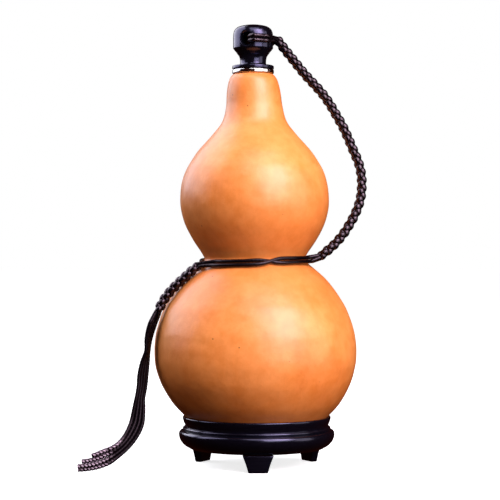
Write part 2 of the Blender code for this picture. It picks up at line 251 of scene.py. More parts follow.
def makeRind(look):
    # dried bottle gourd rind, scraped, oiled and lacquered: warm orange-tan, softly mottled, satin gloss
    rind, tree = newMaterial("lacqueredGourdRind")
    coords = addNode(tree, "ShaderNodeTexCoord")
    place = coords.outputs["Object"]
    # clouds of tone 30 mm across
    clouds = addNode(tree, "ShaderNodeTexNoise", {"Scale": 1 / 0.030, "Detail": 3.0, "Roughness": 0.5},
                     {"Vector": place})
    tone = addNode(tree, "ShaderNodeValToRGB", links={"Fac": clouds.outputs["Fac"]},
                   stops=look["tones"])
    # blotches 5 mm across
    blotches = addNode(tree, "ShaderNodeTexNoise", {"Scale": 1 / 0.005, "Detail": 5.0, "Roughness": 0.6},
                       {"Vector": place})
    blotchTone = addNode(tree, "ShaderNodeValToRGB", links={"Fac": blotches.outputs["Fac"]},
                         stops=look["blotches"])
    mottled = addNode(tree, "ShaderNodeMix", {"Factor": look["blotchShare"]},
                      {6: tone.outputs["Color"], 7: blotchTone.outputs["Color"]},
                      data_type="RGBA", blend_type="MIX")
    # fibres that run up the fruit, 1 mm wide and 12 mm long
    stretch = addNode(tree, "ShaderNodeMapping", {"Scale": (1.0, 1.0, 0.085)}, {"Vector": place})
    fibres = addNode(tree, "ShaderNodeTexNoise", {"Scale": 1 / 0.0011, "Detail": 2.0},
                     {"Vector": stretch.outputs[0]})
    fibreTone = addNode(tree, "ShaderNodeValToRGB", links={"Fac": fibres.outputs["Fac"]},
                        stops=look["fibres"])
    grained = addNode(tree, "ShaderNodeMix", {"Factor": look["fibreShare"]},
                      {6: mottled.outputs[2], 7: fibreTone.outputs["Color"]},
                      data_type="RGBA", blend_type="MULTIPLY")
    # painted shade: the rind is darkened under each lobe and at the waist, where shade falls
    split = addNode(tree, "ShaderNodeSeparateXYZ", links={"Vector": place})
    height = addNode(tree, "ShaderNodeMath", {1: 0.2}, {0: split.outputs["Z"]}, operation="DIVIDE")
    paintedLobeShade = addNode(tree, "ShaderNodeValToRGB", links={"Fac": height.outputs[0]},
                       stops=look["paintedLobeShade"])
    lobeShaded = addNode(tree, "ShaderNodeMix", {"Factor": look["paintedLobeShadeShare"]},
                      {6: grained.outputs[2], 7: paintedLobeShade.outputs["Color"]},
                      data_type="RGBA", blend_type="MULTIPLY")
    # scattered dark specks 0.6 mm across, about one in each square of 9 mm
    specks = addNode(tree, "ShaderNodeTexVoronoi", {"Scale": 1 / 0.009, "Randomness": 1.0},
                     {"Vector": place})
    speckMask = addNode(tree, "ShaderNodeValToRGB", links={"Fac": specks.outputs["Distance"]},
                        stops=[(0.028, "#FFFFFF"), (0.045, "#000000")])
    spotted = addNode(tree, "ShaderNodeMix", {7: linearColour(look["specks"])},
                      {0: speckMask.outputs["Color"], 6: lobeShaded.outputs[2]},
                      data_type="RGBA", blend_type="MIX")
    dull = addNode(tree, "ShaderNodeMapRange",
                   {"To Min": look["roughness"][0], "To Max": look["roughness"][1]},
                   {"Value": blotches.outputs["Fac"]})
    # pores 0.5 mm across and slow dents under the lacquer
    pores = addNode(tree, "ShaderNodeTexNoise", {"Scale": 1 / 0.0006, "Detail": 2.0}, {"Vector": place})
    dents = addNode(tree, "ShaderNodeTexNoise", {"Scale": 1 / 0.008, "Detail": 3.0}, {"Vector": place})
    poreBump = addNode(tree, "ShaderNodeBump", {"Strength": 0.10, "Distance": 0.0003},
                       {"Height": pores.outputs["Fac"]})
    dentBump = addNode(tree, "ShaderNodeBump", {"Strength": 0.22, "Distance": 0.0012},
                       {"Height": dents.outputs["Fac"], "Normal": poreBump.outputs["Normal"]})
    shader = addNode(tree, "ShaderNodeBsdfPrincipled",
                     {"IOR": 1.47, "Coat Weight": 0.25, "Coat Roughness": 0.32, "Coat IOR": 1.5},
                     {"Base Color": spotted.outputs[2], "Roughness": dull.outputs[0],
                      "Normal": dentBump.outputs["Normal"]})
    addNode(tree, "ShaderNodeOutputMaterial", links={"Surface": shader.outputs["BSDF"]})
    return rind


steelLook = {
    "colour": "#E2E2E4",
    "roughness": (0.07, 0.20),
}


def makeSteel(look):
    # stainless steel, spun and polished: mirror bright with hairlines round its axis
    steel, tree = newMaterial("polishedStainlessSteel")
    coords = addNode(tree, "ShaderNodeTexCoord")
    squeeze = addNode(tree, "ShaderNodeMapping", {"Scale": (0.04, 0.04, 1.0)},
                      {"Vector": coords.outputs["Object"]})
    # hairlines 0.1 mm apart, drawn at 0.2 mm so that they show
    lines = addNode(tree, "ShaderNodeTexNoise", {"Scale": 1 / 0.0002, "Detail": 2.0},
                    {"Vector": squeeze.outputs[0]})
    dull = addNode(tree, "ShaderNodeMapRange",
                   {"To Min": look["roughness"][0], "To Max": look["roughness"][1]},
                   {"Value": lines.outputs["Fac"]})
    bump = addNode(tree, "ShaderNodeBump", {"Strength": 0.06, "Distance": 0.0001},
                   {"Height": lines.outputs["Fac"]})
    shader = addNode(tree, "ShaderNodeBsdfPrincipled",
                     {"Base Color": linearColour(look["colour"]), "Metallic": 1.0},
                     {"Roughness": dull.outputs[0], "Normal": bump.outputs["Normal"]})
    addNode(tree, "ShaderNodeOutputMaterial", links={"Surface": shader.outputs["BSDF"]})
    return steel


phenolicLook = {
    "tones": [(0.35, "#05050A"), (0.70, "#0B0A12")],
    "roughness": (0.12, 0.24),
    "highlight": "#C4BDFF",
}


def makePhenolic(look):
    # black phenolic moulding, turned and buffed: deep blue-black, glossy, with faint turning rings
    black, tree = newMaterial("buffedBlackPhenolic")
    coords = addNode(tree, "ShaderNodeTexCoord")
    squeeze = addNode(tree, "ShaderNodeMapping", {"Scale": (0.05, 0.05, 1.0)},
                      {"Vector": coords.outputs["Object"]})
    # turning rings 0.3 mm apart
    rings = addNode(tree, "ShaderNodeTexNoise", {"Scale": 1 / 0.0003, "Detail": 2.0},
                    {"Vector": squeeze.outputs[0]})
    # handling smears 4 mm across
    smears = addNode(tree, "ShaderNodeTexNoise", {"Scale": 1 / 0.004, "Detail": 4.0},
                     {"Vector": coords.outputs["Object"]})
    tone = addNode(tree, "ShaderNodeValToRGB", links={"Fac": smears.outputs["Fac"]},
                   stops=look["tones"])
    dull = addNode(tree, "ShaderNodeMapRange",
                   {"To Min": look["roughness"][0], "To Max": look["roughness"][1]},
                   {"Value": smears.outputs["Fac"]})
    bump = addNode(tree, "ShaderNodeBump", {"Strength": 0.08, "Distance": 0.0001},
                   {"Height": rings.outputs["Fac"]})
    shader = addNode(tree, "ShaderNodeBsdfPrincipled",
                     {"IOR": 1.6, "Specular Tint": linearColour(look["highlight"]), "Coat Weight": 0.15,
                      "Coat Roughness": 0.12},
                     {"Base Color": tone.outputs["Color"], "Roughness": dull.outputs[0],
                      "Normal": bump.outputs["Normal"]})
    addNode(tree, "ShaderNodeOutputMaterial", links={"Surface": shader.outputs["BSDF"]})
    return black


lacquerLook = {
    "tones": [(0.35, "#04040A"), (0.68, "#0B0A12")],
    "rubbedEdges": "#1B1924",
    "roughness": (0.14, 0.28),
    "highlight": "#C4BDFF",
}


def makeLacquer(look):
    # turned hardwood under black lacquer: blue-black gloss, faint grain and rubbed edges
    black, tree = newMaterial("blackLacqueredWood")
    coords = addNode(tree, "ShaderNodeTexCoord")
    # grain lines 0.5 mm apart and 10 mm long, across the stand
    stretch = addNode(tree, "ShaderNodeMapping", {"Scale": (0.06, 1.0, 1.0)},
                      {"Vector": coords.outputs["Object"]})
    grain = addNode(tree, "ShaderNodeTexNoise", {"Scale": 1 / 0.0006, "Detail": 4.0, "Roughness": 0.6},
                    {"Vector": stretch.outputs[0]})
    cloud = addNode(tree, "ShaderNodeTexNoise", {"Scale": 1 / 0.012, "Detail": 3.0},
                    {"Vector": coords.outputs["Object"]})
    tone = addNode(tree, "ShaderNodeValToRGB", links={"Fac": grain.outputs["Fac"]},
                   stops=look["tones"])
    # lacquer worn thin and grey along the edges
    shape = addNode(tree, "ShaderNodeNewGeometry")
    edge = addNode(tree, "ShaderNodeValToRGB", links={"Fac": shape.outputs["Pointiness"]},
                   stops=[(0.52, "#000000"), (0.62, "#FFFFFF")])
    worn = addNode(tree, "ShaderNodeMix", {7: linearColour(look["rubbedEdges"])},
                   {0: edge.outputs["Color"], 6: tone.outputs["Color"]},
                   data_type="RGBA", blend_type="MIX")
    dull = addNode(tree, "ShaderNodeMapRange",
                   {"To Min": look["roughness"][0], "To Max": look["roughness"][1]},
                   {"Value": cloud.outputs["Fac"]})
    bump = addNode(tree, "ShaderNodeBump", {"Strength": 0.12, "Distance": 0.0002},
                   {"Height": grain.outputs["Fac"]})
    shader = addNode(tree, "ShaderNodeBsdfPrincipled",
                     {"IOR": 1.55, "Specular Tint": linearColour(look["highlight"]), "Coat Weight": 0.3,
                      "Coat Roughness": 0.16},
                     {"Base Color": worn.outputs[2], "Roughness": dull.outputs[0],
                      "Normal": bump.outputs["Normal"]})
    addNode(tree, "ShaderNodeOutputMaterial", links={"Surface": shader.outputs["BSDF"]})
    return black


nylonLook = {
    "tones": [(0.10, "#090508"), (0.36, "#060305"), (0.50, "#020102")],  # from a yarn's middle to its edge: painted shade, darkest where two yarns meet
    # painted highlight: the pale lilac glint colour for the crests of worn yarns
    "paintedGlintYarns": "#D2B9CF",
    "paintedGlintShare": 0.75,
    "roughness": (0.12, 0.20),
    "shine": (0.10, 0.95),  # of unhandled and of worn cord
    "highlight": "#FFDFF4",
    "sheen": "#D9B8D6",
}


def makeNylon(look):
    # nylon knotting cord, dyed plum-black: each yarn is a bundle of bright filaments with a lilac sheen
    nylon, tree = newMaterial("plumBlackNylonCord")
    weave = addNode(tree, "ShaderNodeUVMap", uv_map="weave")
    yarns = addNode(tree, "ShaderNodeSeparateXYZ", links={"Vector": weave.outputs["UV"]})
    floors = [addNode(tree, "ShaderNodeMath", links={0: yarns.outputs[axis]}, operation="FLOOR")
              for axis in "XY"]
    total = addNode(tree, "ShaderNodeMath", links={0: floors[0].outputs[0], 1: floors[1].outputs[0]},
                    operation="ADD")
    parity = addNode(tree, "ShaderNodeMath", {1: 2.0}, {0: total.outputs[0]}, operation="FLOORED_MODULO")
    shares = [addNode(tree, "ShaderNodeMath", links={0: yarns.outputs[axis]}, operation="FRACT")
              for axis in "XY"]
    across = addNode(tree, "ShaderNodeMix",
                     links={0: parity.outputs[0], 2: shares[0].outputs[0], 3: shares[1].outputs[0]},
                     data_type="FLOAT")
    # five filament bundles across each yarn
    turns = addNode(tree, "ShaderNodeMath", {1: 5 * 2 * math.pi}, {0: across.outputs[0]},
                    operation="MULTIPLY")
    filaments = addNode(tree, "ShaderNodeMath", links={0: turns.outputs[0]}, operation="SINE")
    # painted shade: darker towards a yarn's edge, in the crevice where it meets the next yarn
    offset = addNode(tree, "ShaderNodeMath", {1: 0.5}, {0: across.outputs[0]}, operation="SUBTRACT")
    rim = addNode(tree, "ShaderNodeMath", links={0: offset.outputs[0]}, operation="ABSOLUTE")
    tone = addNode(tree, "ShaderNodeValToRGB", links={"Fac": rim.outputs[0]},
                   stops=look["tones"])
    dull = addNode(tree, "ShaderNodeMapRange",
                   {"From Min": -1.0, "To Min": look["roughness"][0], "To Max": look["roughness"][1]},
                   {"Value": filaments.outputs[0]})
    bump = addNode(tree, "ShaderNodeBump", {"Strength": 0.16, "Distance": 0.00006},
                   {"Height": filaments.outputs[0]})
    # handled places are shinier; painted highlight: where the wear value passes one half, on the
    # pressed-flat loose ends, the crest of every other yarn is painted pale lilac as a glint
    wearMap = addNode(tree, "ShaderNodeUVMap", uv_map="wear")
    wear = addNode(tree, "ShaderNodeSeparateXYZ", links={"Vector": wearMap.outputs["UV"]})
    shine = addNode(tree, "ShaderNodeMapRange", {"To Min": look["shine"][0], "To Max": look["shine"][1]},
                    {"Value": wear.outputs["X"]})
    paintedGlintAmount = addNode(tree, "ShaderNodeMapRange", {"From Min": 0.5, "To Max": look["paintedGlintShare"]},
                     {"Value": wear.outputs["X"]})
    crest = addNode(tree, "ShaderNodeMapRange",
                    {"From Min": 0.12, "From Max": 0.34, "To Min": 1.0, "To Max": 0.0},
                    {"Value": rim.outputs[0]})
    everyOther = addNode(tree, "ShaderNodeMath", links={0: crest.outputs[0], 1: parity.outputs[0]},
                         operation="MULTIPLY")
    paintedGlint = addNode(tree, "ShaderNodeMath", links={0: paintedGlintAmount.outputs[0], 1: everyOther.outputs[0]},
                    operation="MULTIPLY")
    yarnTone = addNode(tree, "ShaderNodeMix", {7: linearColour(look["paintedGlintYarns"])},
                       {0: paintedGlint.outputs[0], 6: tone.outputs["Color"]},
                       data_type="RGBA", blend_type="MIX")
    shader = addNode(tree, "ShaderNodeBsdfPrincipled",
                     {"IOR": 1.53, "Specular Tint": linearColour(look["highlight"]),
                      "Sheen Weight": 0.01, "Sheen Roughness": 0.4,
                      "Sheen Tint": linearColour(look["sheen"])},
                     {"Base Color": yarnTone.outputs[2], "Roughness": dull.outputs[0],
                      "Specular IOR Level": shine.outputs[0], "Normal": bump.outputs["Normal"]})
    addNode(tree, "ShaderNodeOutputMaterial", links={"Surface": shader.outputs["BSDF"]})
    return nylon


rindFinish = makeRind(rindLook)
steelFinish = makeSteel(steelLook)
stopperFinish = makePhenolic(phenolicLook)
standFinish = makeLacquer(lacquerLook)
nylonFinish = makeNylon(nylonLook)
print("materials: rind, steel, stopper, stand and nylon are mixed")


# Cords: every cord is a real tube with its diamond weave, every braid has its four strands

cordLook = {
    "diameter": 2.0,
    "braidDiameter": 5.0,
    "yarns": 4,  # yarns in each direction round a cord
    "pitch": 1.75,  # mm of cord for one crossing of a yarn
    "weaveDepth": 0.08,  # mm that the yarns stand out
    "wear": 0.45,  # how far handling has polished the filaments; above one half it also paints pale glints on the yarn crests
    "duck": 0.35,  # a yarn's height where it dives under the next, as a share of its crown
    "meltedShare": 0.80,  # the cut ends are melted round: their thickness, as a share
    "meltedLength": 0.25,
    "sides": 24,
    "step": 0.22,  # mm between rings
    "pathStep": 2.0,  # mm between the points of a cord's path
}

braidLook = {
    "strandWide": 1.42,  # half the width of a strand, pressed flat by its neighbours
    "strandThick": 0.76,
    "middle": 1.32,  # a strand's mean distance from the braid's middle
    "wave": 0.55,  # how far it goes over and under
    "quarterTurn": 1.97,  # mm of braid between two crossings
    "slacken": 0.04,  # the plait is tighter at its top and looser at its end by this share
    "gathered": 0.9,  # a strand's thickness where the ends gather, as a share of the cord's
    "gatheredReach": 0.55,  # and its distance from the middle there, as a share
    "longTwist": 22.0,  # degrees that put the long braid's two rows of lobes where they show
    "longGather": (1.6, 3.0),  # mm over which its strands gather at its start and at its end
    "shortTwist": 10.0,
    "shortGather": (4.5, 3.0),
    "sides": 18,
    "step": 0.18,
}

# every route runs from its cord's start to its end, in mm to the right, back and up
longBraidRoute = [
    (10.9, -0.6, 212.6), (13.3, -0.9, 209.3), (16.4, -1.0, 205.3), (19.7, -1.0, 201.2), (24.4, -1.0, 195.4),
    (29.0, -1.0, 190.4), (33.3, -1.0, 185.6), (37.0, -1.0, 180.4), (40.2, -1.0, 175.0), (43.4, -1.0, 169.4),
    (46.2, -1.0, 163.4), (48.9, -1.0, 157.0), (51.4, -1.2, 151.0), (52.8, -1.4, 144.8), (53.0, -1.6, 138.4),
    (52.2, -2.0, 132.4), (50.2, -2.6, 126.6), (47.2, -3.4, 120.8), (43.4, -4.4, 115.0), (38.6, -5.4, 109.6),
    (33.4, -6.0, 105.2), (31.9, -6.2, 104.0),
]

shortBraidRoute = [
    (-28.0, -16.8, 99.8), (-31.2, -16.2, 97.2), (-34.4, -15.2, 94.3), (-38.6, -13.9, 90.5),
    (-42.6, -12.6, 86.3), (-45.8, -12.0, 81.8), (-48.0, -12.4, 77.2),
]

# turns round the waist: degrees from +X, radius of the upper and of the lower cord, height of their middle
waistFrontRoute = [
    (-18.5, 27.6, 29.0, 102.9), (-27.0, 26.9, 28.2, 102.6), (-45.0, 26.7, 28.0, 102.5),
    (-65.0, 26.6, 28.2, 102.2), (-85.0, 26.6, 28.6, 101.6), (-105.0, 26.8, 29.3, 101.1),
    (-125.0, 27.0, 29.7, 100.9), (-137.0, 27.7, 30.2, 100.8),
]
waistBackRoute = [
    (-3.4, 27.6, 29.0, 102.9), (7.0, 26.9, 28.3, 102.7), (30.0, 26.7, 28.2, 102.5),
    (60.0, 26.7, 28.3, 102.3), (90.0, 26.7, 28.4, 102.1), (120.0, 26.7, 28.5, 102.0),
    (150.0, 26.8, 28.8, 101.7), (175.0, 26.9, 29.1, 101.3), (192.0, 27.3, 29.6, 100.8),
    (202.0, 28.0, 30.1, 100.7),
]

waistLook = {
    "pair": 0.95,  # half the height between the two cords of a pair
    "crossing": (-94.0, -60.0),  # degrees between which the two front cords change places
    "over": 1.2,  # how far the upper cord climbs over the other there
    "wear": 0.2,
    "slant": 0.4,  # the short braid starts aslant: its front ends lie more to the right
}

# the four loose ends lie in a ribbon: its middle, and half its width as seen from the front
tailRoute = [
    (-49.0, -12.6, 75.6, 1.0), (-51.2, -12.3, 69.7, 1.2), (-52.7, -12.0, 63.8, 0.9),
    (-53.3, -11.9, 57.9, 0.5), (-54.5, -12.2, 52.0, 1.3), (-55.4, -13.0, 46.1, 1.7),
    (-55.9, -13.9, 40.2, 1.6), (-56.8, -15.2, 34.4, 1.6), (-57.1, -16.2, 30.5, 2.1),
    (-57.5, -17.4, 26.6, 2.5), (-58.1, -18.8, 22.9, 2.75), (-59.6, -20.6, 19.1, 2.7),
    (-61.9, -22.6, 15.3, 2.5), (-65.0, -24.6, 11.8, 2.4), (-68.8, -26.2, 9.0, 2.7),
    (-72.8, -27.4, 7.0, 3.3), (-77.5, -28.2, 5.3, 3.2), (-82.0, -28.8, 4.5, 3.1), (-87.5, -29.3, 4.1, 3.0),
]

tailLook = {
    "half": 3.0,  # half the ribbon's full width, between the middles of the outer cords
    "endPlaces": [(-3.0, 0.2), (-0.9, 1.2), (1.2, 0.0), (2.9, 1.2)],  # each end's place in it
    "fanStart": 0.72,  # shares of the way between which the cords move to those places
    "fanEnd": 1.0,
    "joinPoints": 5,  # points of the ribbon that are left to the curve out of the braid
    "tips": [-79.6, -84.8, -86.6, -86.4],  # where each end stops, left of the middle
    "flattened": 22.0,  # mm of each end that has been pressed flat
    "flatWide": 1.2,  # half its width there
    "flatThick": 0.9,
    "flatWeave": 0.24,  # its yarns have come loose and stand out further
    "wearAndGlintFrom": 0.1,  # how flat it is where its wear starts to rise, which further on paints pale glints on its yarn crests
    "floor": 1.05,  # lowest height of a cord's middle
}

loopLook = {
    "axis": -1.2,  # the knob's axis, mm from the belly's
    "height": 212.2,  # of the hole's middle
    "pair": 1.1,  # half the height between the two folds
    "holeTurn": -111.0,  # degrees from +X that the hole faces
    "wrap": [(62.0, 11.3), (50.0, 11.35), (38.0, 11.7), (28.0, 12.1)],  # degrees from the hole, mm out
    "reach": 11.3,  # distance out where a cord turns into the hole
    "bend": 4.0,  # radius of that turn
    "offset": 0.9,  # where it then runs, beside the hole's middle
    "straight": 3.0,  # half the length that runs straight inside
    "rear": (8.3, 7.0),  # where it leaves the knob's rear for the braid
    "slant": 0.5,  # the long braid starts aslant: its upper ends lie more to the right
}


def ringFrames(points):
    # two directions square to the line at each point, carried along it without twist
    frames = []
    last = len(points) - 1
    side = None
    for i, _ in enumerate(points):
        along = (points[min(i + 1, last)] - points[max(i - 1, 0)]).normalized()
        if side is None:
            side = along.orthogonal().normalized()
        side = (side - along * side.dot(along)).normalized()
        frames.append((side.copy(), along.cross(side)))
    return frames


def tubeArrays(points, halves, sides, look, outward=None):
    # rings of points with the diamond weave raised on them, and how far along the cord each ring lies
    frames = ringFrames(points)
    if outward:
        frames = [(out, first.cross(second).cross(out)) for (first, second), out in zip(frames, outward)]
    centres = numpy.array([p[:] for p in points])
    firsts = numpy.array([f[0][:] for f in frames])
    seconds = numpy.array([f[1][:] for f in frames])
    steps = numpy.linalg.norm(numpy.diff(centres, axis=0), axis=1)
    travel = numpy.concatenate([[0.0], numpy.cumsum(steps)])
    turn = numpy.arange(sides) / sides
    across = look["yarns"] * turn[None, :] + travel[:, None] / look["pitch"]
    against = look["yarns"] * turn[None, :] - travel[:, None] / look["pitch"]
    over = (numpy.floor(across) + numpy.floor(against)) % 2 < 1
    shareA = across - numpy.floor(across)
    shareB = against - numpy.floor(against)
    wide = numpy.where(over, shareA, shareB)
    long = numpy.where(over, shareB, shareA)
    crown = numpy.sqrt(numpy.clip(1.0 - (2 * wide - 1) ** 2, 0.0, 1.0))
    hump = look["duck"] + (1.0 - look["duck"]) * numpy.sin(math.pi * long)
    weave = halves[:, 2:3] * (crown * hump - 1.0)
    edge = numpy.minimum(travel, travel[-1] - travel) / look["meltedLength"]
    melt = numpy.clip(look["meltedShare"] + (1.0 - look["meltedShare"]) * edge, 0.0, 1.0)[:, None]
    thick = (halves[:, 0:1] + weave) * melt
    broad = (halves[:, 1:2] + weave) * melt
    angles = 2 * math.pi * turn
    spots = (centres[:, None, :]
             + (thick * numpy.cos(angles)[None, :])[:, :, None] * firsts[:, None, :]
             + (broad * numpy.sin(angles)[None, :])[:, :, None] * seconds[:, None, :])
    return spots, travel


def cordMesh(name, strands, sides, look):
    # one mesh for all the strands, each a closed tube; a strand is its points, its halves (half thickness,
    # half width, weave depth, wear and painted glint) at each of them, and the outward directions of a flat
    # one
    vertices = []
    faces = []
    weave = []
    wear = []
    for line, halves, outward in strands:
        spots, travel = tubeArrays(line, numpy.array(halves), sides, look, outward)
        start = len(vertices)
        rings = len(line)
        vertices.extend((spots.reshape(-1, 3) * mm).tolist())
        for ring in range(rings - 1):
            for side in range(sides):
                a = start + ring * sides + side
                b = start + ring * sides + (side + 1) % sides
                faces.append((a, b, b + sides, a + sides))
                low = travel[ring] / look["pitch"]
                high = travel[ring + 1] / look["pitch"]
                left = look["yarns"] * side / sides
                right = look["yarns"] * (side + 1) / sides
                weave.extend([left + low, left - low, right + low, right - low,
                              right + high, right - high, left + high, left - high])
                wear.extend([halves[ring][3], 0.0] * 2 + [halves[ring + 1][3], 0.0] * 2)
        faces.append(tuple(start + side for side in reversed(range(sides))))
        faces.append(tuple(start + (rings - 1) * sides + side for side in range(sides)))
        weave.extend([0.5, 0.5] * (2 * sides))
        wear.extend([0.0, 0.0] * (2 * sides))
    mesh = bpy.data.meshes.new(name)
    mesh.from_pydata(vertices, [], faces)
    layer = mesh.uv_layers.new(name="weave")
    layer.data.foreach_set("uv", weave)
    layer = mesh.uv_layers.new(name="wear")
    layer.data.foreach_set("uv", wear)
    mesh.shade_smooth()
    made = bpy.data.objects.new(name, mesh)
    bpy.context.scene.collection.objects.link(made)
    made.data.materials.append(nylonFinish)
    return made


def braidStrands(route, look, twist, tapers):
    # a round braid of four: two strands climb one way and two the other, over and under in turn
    middle = smoothCurve(route, 24)
    length = lineLength(middle)
    middle = evenSteps(middle, look["step"])
    quarters = round(length / look["quarterTurn"])
    last = len(middle) - 1
    strands = [([], [], []) for _ in range(4)]
    ways = ((1, 0.0), (1, math.pi), (-1, 0.0), (-1, math.pi))
    for i, spot in enumerate(middle):
        along = (middle[min(i + 1, last)] - middle[max(i - 1, 0)]).normalized()
        front = Vector((0.0, -1.0, 0.0))
        front = (front - along * front.dot(along)).normalized()
        side = along.cross(front)
        share = i / last
        share += look["slacken"] * share * (1.0 - share)
        turn = (quarters * share + 0.5) * math.pi / 2
        # the strands gather at each end
        gather = smoothShare(i * length / last, -tapers[0], tapers[0])
        gather = min(gather, smoothShare((last - i) * length / last, -tapers[1], tapers[1]))
        bundled = cordLook["diameter"] / 2 * look["gathered"] * (1 - gather)
        thick = bundled + look["strandThick"] * gather
        broad = bundled + look["strandWide"] * gather
        drawnIn = look["gatheredReach"] + (1.0 - look["gatheredReach"]) * gather
        for (line, halves, outward), (way, phase) in zip(strands, ways):
            angle = way * turn + phase + math.radians(twist)
            reach = (look["middle"] + way * look["wave"] * math.cos(2 * turn)) * drawnIn
            out = front * math.cos(angle) + side * math.sin(angle)
            line.append(spot + out * reach)
            halves.append((thick, broad, cordLook["weaveDepth"], cordLook["wear"]))
            outward.append(out)
    for line, halves, outward in strands:
        for i, _ in enumerate(line):
            along = (line[min(i + 1, last)] - line[max(i - 1, 0)]).normalized()
            outward[i] = (outward[i] - along * outward[i].dot(along)).normalized()
    return strands


def pickEnd(ends, right, back, up):
    # the end that lies furthest in a direction, with its neighbour that steers a curve into it
    return max(ends, key=lambda pair: pair[0].x * right + pair[0].y * back + pair[0].z * up)


# each strand's end, with a point a millimetre further in
def starts(strands):
    return [(line[0], line[6]) for line, _, _ in strands]


def finishes(strands):
    return [(line[-1], line[-7]) for line, _, _ in strands]


def declareCord(piece, node):
    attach(piece, "root")
    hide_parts(node)


def makeBraid(name, node, route, look, twist, tapers):
    strands = braidStrands(route, look, twist, tapers)
    piece = cordMesh(name, strands, look["sides"], cordLook)
    declareCord(piece, node)
    return strands


def makeCord(name, node, curve, wear=cordLook["wear"], halves=None, outward=None):
    line = evenSteps(curve, cordLook["step"])
    half = cordLook["diameter"] / 2
    halves = halves or [(half, half, cordLook["weaveDepth"], wear)] * len(line)
    piece = cordMesh(name, [(line, halves, outward)], cordLook["sides"], cordLook)
    declareCord(piece, node)


def makeLooseEnd(name, node, curve, look):
    # the loose end of a cord has been pressed flat, its broad side to the front
    line = evenSteps(curve, cordLook["step"])
    last = len(line) - 1
    half = cordLook["diameter"] / 2
    halves = []
    outward = []
    for i, _ in enumerate(line):
        flat = 1.0 - smoothShare((last - i) * cordLook["step"], look["flattened"] / 2, look["flattened"])
        depth = cordLook["weaveDepth"] + (look["flatWeave"] - cordLook["weaveDepth"]) * flat
        # the flattened part's wear value, which also paints pale glints on its yarn crests
        worn = smoothShare(flat, look["wearAndGlintFrom"], 1.0)
        thick = half + (look["flatThick"] - half) * flat
        broad = half + (look["flatWide"] - half) * flat
        halves.append((thick, broad, depth, worn))
        along = (line[min(i + 1, last)] - line[max(i - 1, 0)]).normalized()
        front = Vector((0.0, -1.0, 0.0))
        outward.append((front - along * front.dot(along)).normalized())
    makeCord(name, node, curve, halves=halves, outward=outward)


def knobLoop(look, lift, startEnd, finishEnd):
    # from the braid round the knob's front, through the hole and back along the rear
    across = math.radians(look["holeTurn"])
    out = Vector((math.cos(across), math.sin(across), 0.0))
    side = Vector((-math.sin(across), math.cos(across), 0.0))
    middle = Vector((look["axis"], 0.0, look["height"] + lift))
    turnMiddle = look["offset"] + look["bend"]
    front = []
    for degrees in (30.0, 60.0, 90.0):
        turn = math.radians(degrees)
        front.append((turnMiddle - look["bend"] * math.sin(turn),
                      look["reach"] - look["bend"] * (1 - math.cos(turn))))
    wrap = [(r * math.sin(math.radians(a)), r * math.cos(math.radians(a))) for a, r in look["wrap"]]
    path = wrap + [(turnMiddle, look["reach"])] + front
    path += [(look["offset"], look["straight"]), (look["offset"], -look["straight"])]
    path += [(offset, -depth) for offset, depth in reversed(front)]
    path += [(turnMiddle, -look["reach"])]
    points = [middle + side * offset + out * depth for offset, depth in path]
    begin = [startEnd[0]]
    finish = [Vector(look["rear"] + (middle.z,)), finishEnd[0]]
    return smoothCurve(begin + points + finish, 10, startEnd[1], finishEnd[1])


def waistTurn(route, look, startEnd, finishEnd, swing):
    # one cord of the pair: swing gives its turn about the pair's middle line, in degrees from straight up
    points = []
    for degrees, upper, lower, height in route:
        turn = math.radians(degrees)
        lean = math.radians(swing(degrees))
        reach = (upper + lower) / 2 + (upper - lower) / 2 * math.cos(lean)
        reach += look["over"] * max(math.sin(lean), 0.0)
        rise = look["pair"] * math.cos(lean)
        points.append((reach * math.cos(turn), reach * math.sin(turn), height + rise))
    return smoothCurve([startEnd[0]] + points + [finishEnd[0]], 12, startEnd[1], finishEnd[1])


def frontSwing(rest, look):
    # the two front cords change places at the crossing
    return lambda degrees: -rest + 180.0 * (1 - smoothShare(degrees, *look["crossing"]))


def backSwing(rest):
    return lambda degrees: rest


def tailLines(look, ends):
    # the middle lines of the four loose ends: side by side in the ribbon, then each in its own place
    middle = smoothCurve(tailRoute, 8)
    last = len(middle) - 1
    lines = [[], [], [], []]
    for i, spot in enumerate(middle):
        wide = spot[3]
        deep = math.sqrt(max(look["half"] ** 2 - wide ** 2, 0.0))
        spot = Vector(spot[:3])
        along = (Vector(middle[min(i + 1, last)][:3]) - Vector(middle[max(i - 1, 0)][:3])).normalized()
        right = along.cross(Vector((0.0, 1.0, 0.0))).normalized()
        back = right.cross(along)
        share = smoothShare(i / last, look["fanStart"], look["fanEnd"])
        for line, order, end, tip in zip(lines, (-1, -1 / 3, 1 / 3, 1), look["endPlaces"], look["tips"]):
            place = Vector((order * wide, order * deep)).lerp(Vector(end), share)
            there = spot + right * place.x + back * place.y
            there.z = max(there.z, look["floor"])
            if there.x > tip:
                line.append(there)
    return [smoothCurve([end[0]] + line[look["joinPoints"]:], 3, end[1]) for line, end in zip(lines, ends)]


